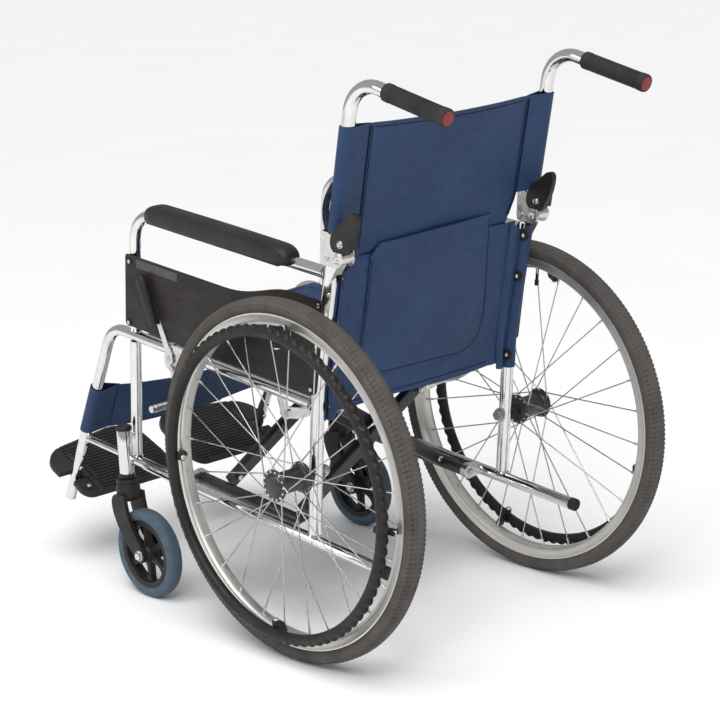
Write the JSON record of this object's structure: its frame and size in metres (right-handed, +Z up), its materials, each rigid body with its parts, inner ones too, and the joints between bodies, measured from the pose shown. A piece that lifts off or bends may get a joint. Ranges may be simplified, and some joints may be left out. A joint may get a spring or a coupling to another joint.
{
  "type": "folding manual wheelchair",
  "caption": "Folding manual wheelchair with sling seat and back, large spoked rear wheels with push rims, swivel casters, flip-up footplates and a cross-braced frame.",
  "frame": {"origin": "on the floor, under the centre of the overall length and width", "axes": "+Z up, -Y the way the user faces, +X to the user's left"},
  "size_m": [0.6186, 1.0324, 0.8865],
  "materials": {
    "chrome_tube": "polished chrome",
    "black_steel": "satin black paint",
    "alloy_rim": "satin",
    "tyre_rubber": "matt tread",
    "caster_rubber": "matt",
    "black_plastic": "moulded",
    "panel_plastic": "fine grain",
    "arm_vinyl": "soft vinyl",
    "sling_vinyl": "coated cloth, blue"
  },
  "bodies": {
    "side_left": {"lower_rail_left": "chrome_tube", "seat_rail_left": "chrome_tube", "arm_tube_left": "chrome_tube", "rear_post_left": "chrome_tube", "side_panel_left": "panel_plastic", "arm_pad_left": "arm_vinyl", "caster_housing_left": "chrome_tube", "brake_plate_left": "chrome_tube", "foot_bracket_left": "black_plastic", "back_lower": "sling_vinyl", "calf_strap": "sling_vinyl"},
    "side_right": {"lower_rail_right": "chrome_tube", "seat_rail_right": "chrome_tube", "arm_tube_right": "chrome_tube", "rear_post_right": "chrome_tube", "side_panel_right": "panel_plastic", "arm_pad_right": "arm_vinyl", "caster_housing_right": "chrome_tube", "brake_plate_right": "chrome_tube", "foot_bracket_right": "black_plastic"},
    "x_frame_a": {"xa_lower_tube": "black_steel", "xa_front_arm": "black_steel", "xa_rear_arm": "black_steel", "xa_seat_tube": "black_steel", "seat_sling": "sling_vinyl"},
    "x_frame_b": {"xb_lower_tube": "black_steel", "xb_front_arm": "black_steel", "xb_rear_arm": "black_steel", "xb_seat_tube": "black_steel"},
    "fold_link_left": {"link_left": "chrome_tube"},
    "back_left": {"back_cane_left": "chrome_tube", "grip_left": "black_plastic", "hinge_channel_left": "chrome_tube", "back_upper": "sling_vinyl"},
    "release_left": {"hinge_lever_left": "black_plastic"},
    "rear_wheel_left": {"tyre_left": "tyre_rubber", "rim_left": "alloy_rim", "hub_spokes_left": "black_steel", "handrim_left": "black_plastic"},
    "caster_swivel_left": {"caster_fork_left": "black_plastic"},
    "caster_wheel_left": {"caster_wheel_left": "black_plastic", "caster_tyre_left": "caster_rubber"},
    "brake_lever_left": {"brake_lever_left": "black_plastic"},
    "brake_shoe_left": {"brake_shoe_left": "chrome_tube"},
    "footplate_left": {"footplate_left": "black_plastic"},
    "fold_link_right": {"link_right": "chrome_tube"},
    "back_right": {"back_cane_right": "chrome_tube", "grip_right": "black_plastic", "hinge_channel_right": "chrome_tube"},
    "release_right": {"hinge_lever_right": "black_plastic"},
    "rear_wheel_right": {"tyre_right": "tyre_rubber", "rim_right": "alloy_rim", "hub_spokes_right": "black_steel", "handrim_right": "black_plastic"},
    "caster_swivel_right": {"caster_fork_right": "black_plastic"},
    "caster_wheel_right": {"caster_wheel_right": "black_plastic", "caster_tyre_right": "caster_rubber"},
    "brake_lever_right": {"brake_lever_right": "black_plastic"},
    "brake_shoe_right": {"brake_shoe_right": "chrome_tube"},
    "footplate_right": {"footplate_right": "black_plastic"}
  },
  "joints": [
    {"name": "fold", "type": "hinge", "parent": "side_left", "child": "x_frame_a", "pos_m": [0.178, 0.0138, 0.19341], "axis": [0, 0.9945, -0.1045], "range_deg": [0, 45.8], "deforming": ["seat_sling", "back_lower", "back_upper", "calf_strap"]},
    {"name": "x_cross", "type": "hinge", "parent": "x_frame_a", "child": "x_frame_b", "pos_m": [0, 0.02948, 0.30438], "axis": [0, 0.9945, -0.1045], "range_deg": [-91.6, 0]},
    {"name": "side_right_pivot", "type": "hinge", "parent": "x_frame_b", "child": "side_right", "pos_m": [-0.178, 0.0138, 0.19341], "axis": [0, 0.9945, -0.1045], "range_deg": [0, 45.8]},
    {"name": "fold_link_left", "type": "hinge", "parent": "side_left", "child": "fold_link_left", "pos_m": [0.196, 0.12291, 0.36092], "axis": [0, 0.9945, -0.1045], "range_deg": [0, 85.03]},
    {"name": "fold_link_right", "type": "hinge", "parent": "side_right", "child": "fold_link_right", "pos_m": [-0.196, 0.14588, 0.35851], "axis": [0, 0.9945, -0.1045], "range_deg": [-85.03, 0]},
    {"name": "footplate_left_flip", "type": "hinge", "parent": "side_left", "child": "footplate_left", "pos_m": [0.188, -0.43043, 0.15209], "axis": [0, 0.8988, -0.4384], "range_deg": [0, 90]},
    {"name": "footplate_right_flip", "type": "hinge", "parent": "side_right", "child": "footplate_right", "pos_m": [-0.188, -0.43043, 0.15209], "axis": [0, 0.8988, -0.4384], "range_deg": [-90, 0]},
    {"name": "back_fold_left", "type": "hinge", "parent": "side_left", "child": "back_left", "pos_m": [0.21, 0.28602, 0.6213], "axis": [-1, 0, 0], "range_deg": [0, 120]},
    {"name": "back_release_left", "type": "hinge", "parent": "back_left", "child": "release_left", "pos_m": [0.21, 0.2902, 0.64197], "axis": [-1, 0, 0], "range_deg": [0, 25], "stiffness_Nm_per_rad": 0.4, "springref_deg": -11.46},
    {"name": "rear_wheel_spin_left", "type": "hinge", "parent": "side_left", "child": "rear_wheel_left", "pos_m": [0.267, 0.2041, 0.282], "axis": [1, 0, 0], "continuous": true},
    {"name": "caster_swivel_left", "type": "hinge", "parent": "side_left", "child": "caster_swivel_left", "pos_m": [0.24, -0.2369, 0.24], "axis": [0, 0, 1], "continuous": true},
    {"name": "caster_spin_left", "type": "hinge", "parent": "caster_swivel_left", "child": "caster_wheel_left", "pos_m": [0.24, -0.1899, 0.075], "axis": [1, 0, 0], "continuous": true},
    {"name": "brake_lever_left", "type": "hinge", "parent": "side_left", "child": "brake_lever_left", "pos_m": [0.225, -0.11882, 0.41448], "axis": [-1, 0, 0], "range_deg": [0, 45]},
    {"name": "brake_shoe_left", "type": "hinge", "parent": "side_left", "child": "brake_shoe_left", "pos_m": [0.229, -0.10495, 0.40297], "axis": [1, 0, 0], "range_deg": [0, 19]},
    {"name": "back_fold_right", "type": "hinge", "parent": "side_right", "child": "back_right", "pos_m": [-0.21, 0.28602, 0.6213], "axis": [-1, 0, 0], "range_deg": [0, 120]},
    {"name": "back_release_right", "type": "hinge", "parent": "back_right", "child": "release_right", "pos_m": [-0.21, 0.2902, 0.64197], "axis": [-1, 0, 0], "range_deg": [0, 25], "stiffness_Nm_per_rad": 0.4, "springref_deg": -11.46},
    {"name": "rear_wheel_spin_right", "type": "hinge", "parent": "side_right", "child": "rear_wheel_right", "pos_m": [-0.267, 0.2041, 0.282], "axis": [1, 0, 0], "continuous": true},
    {"name": "caster_swivel_right", "type": "hinge", "parent": "side_right", "child": "caster_swivel_right", "pos_m": [-0.24, -0.2369, 0.24], "axis": [0, 0, 1], "continuous": true},
    {"name": "caster_spin_right", "type": "hinge", "parent": "caster_swivel_right", "child": "caster_wheel_right", "pos_m": [-0.24, -0.1899, 0.075], "axis": [1, 0, 0], "continuous": true},
    {"name": "brake_lever_right", "type": "hinge", "parent": "side_right", "child": "brake_lever_right", "pos_m": [-0.225, -0.11882, 0.41448], "axis": [-1, 0, 0], "range_deg": [0, 45]},
    {"name": "brake_shoe_right", "type": "hinge", "parent": "side_right", "child": "brake_shoe_right", "pos_m": [-0.229, -0.10495, 0.40297], "axis": [1, 0, 0], "range_deg": [0, 19]}
  ],
  "couplings": [
    {"joint": "x_cross", "follows": "fold", "ratio": -2},
    {"joint": "side_right_pivot", "follows": "fold", "ratio": 1},
    {"joint": "fold_link_left", "follows": "fold", "ratio": 1.85},
    {"joint": "fold_link_right", "follows": "fold", "ratio": -1.85},
    {"joint": "footplate_left_flip", "follows": "fold", "ratio": 1.95},
    {"joint": "footplate_right_flip", "follows": "fold", "ratio": -1.95},
    {"joint": "back_fold_right", "follows": "back_fold_left", "ratio": 1},
    {"joint": "brake_shoe_left", "follows": "brake_lever_left", "ratio": 0.42},
    {"joint": "brake_shoe_right", "follows": "brake_lever_right", "ratio": 0.42}
  ]
}
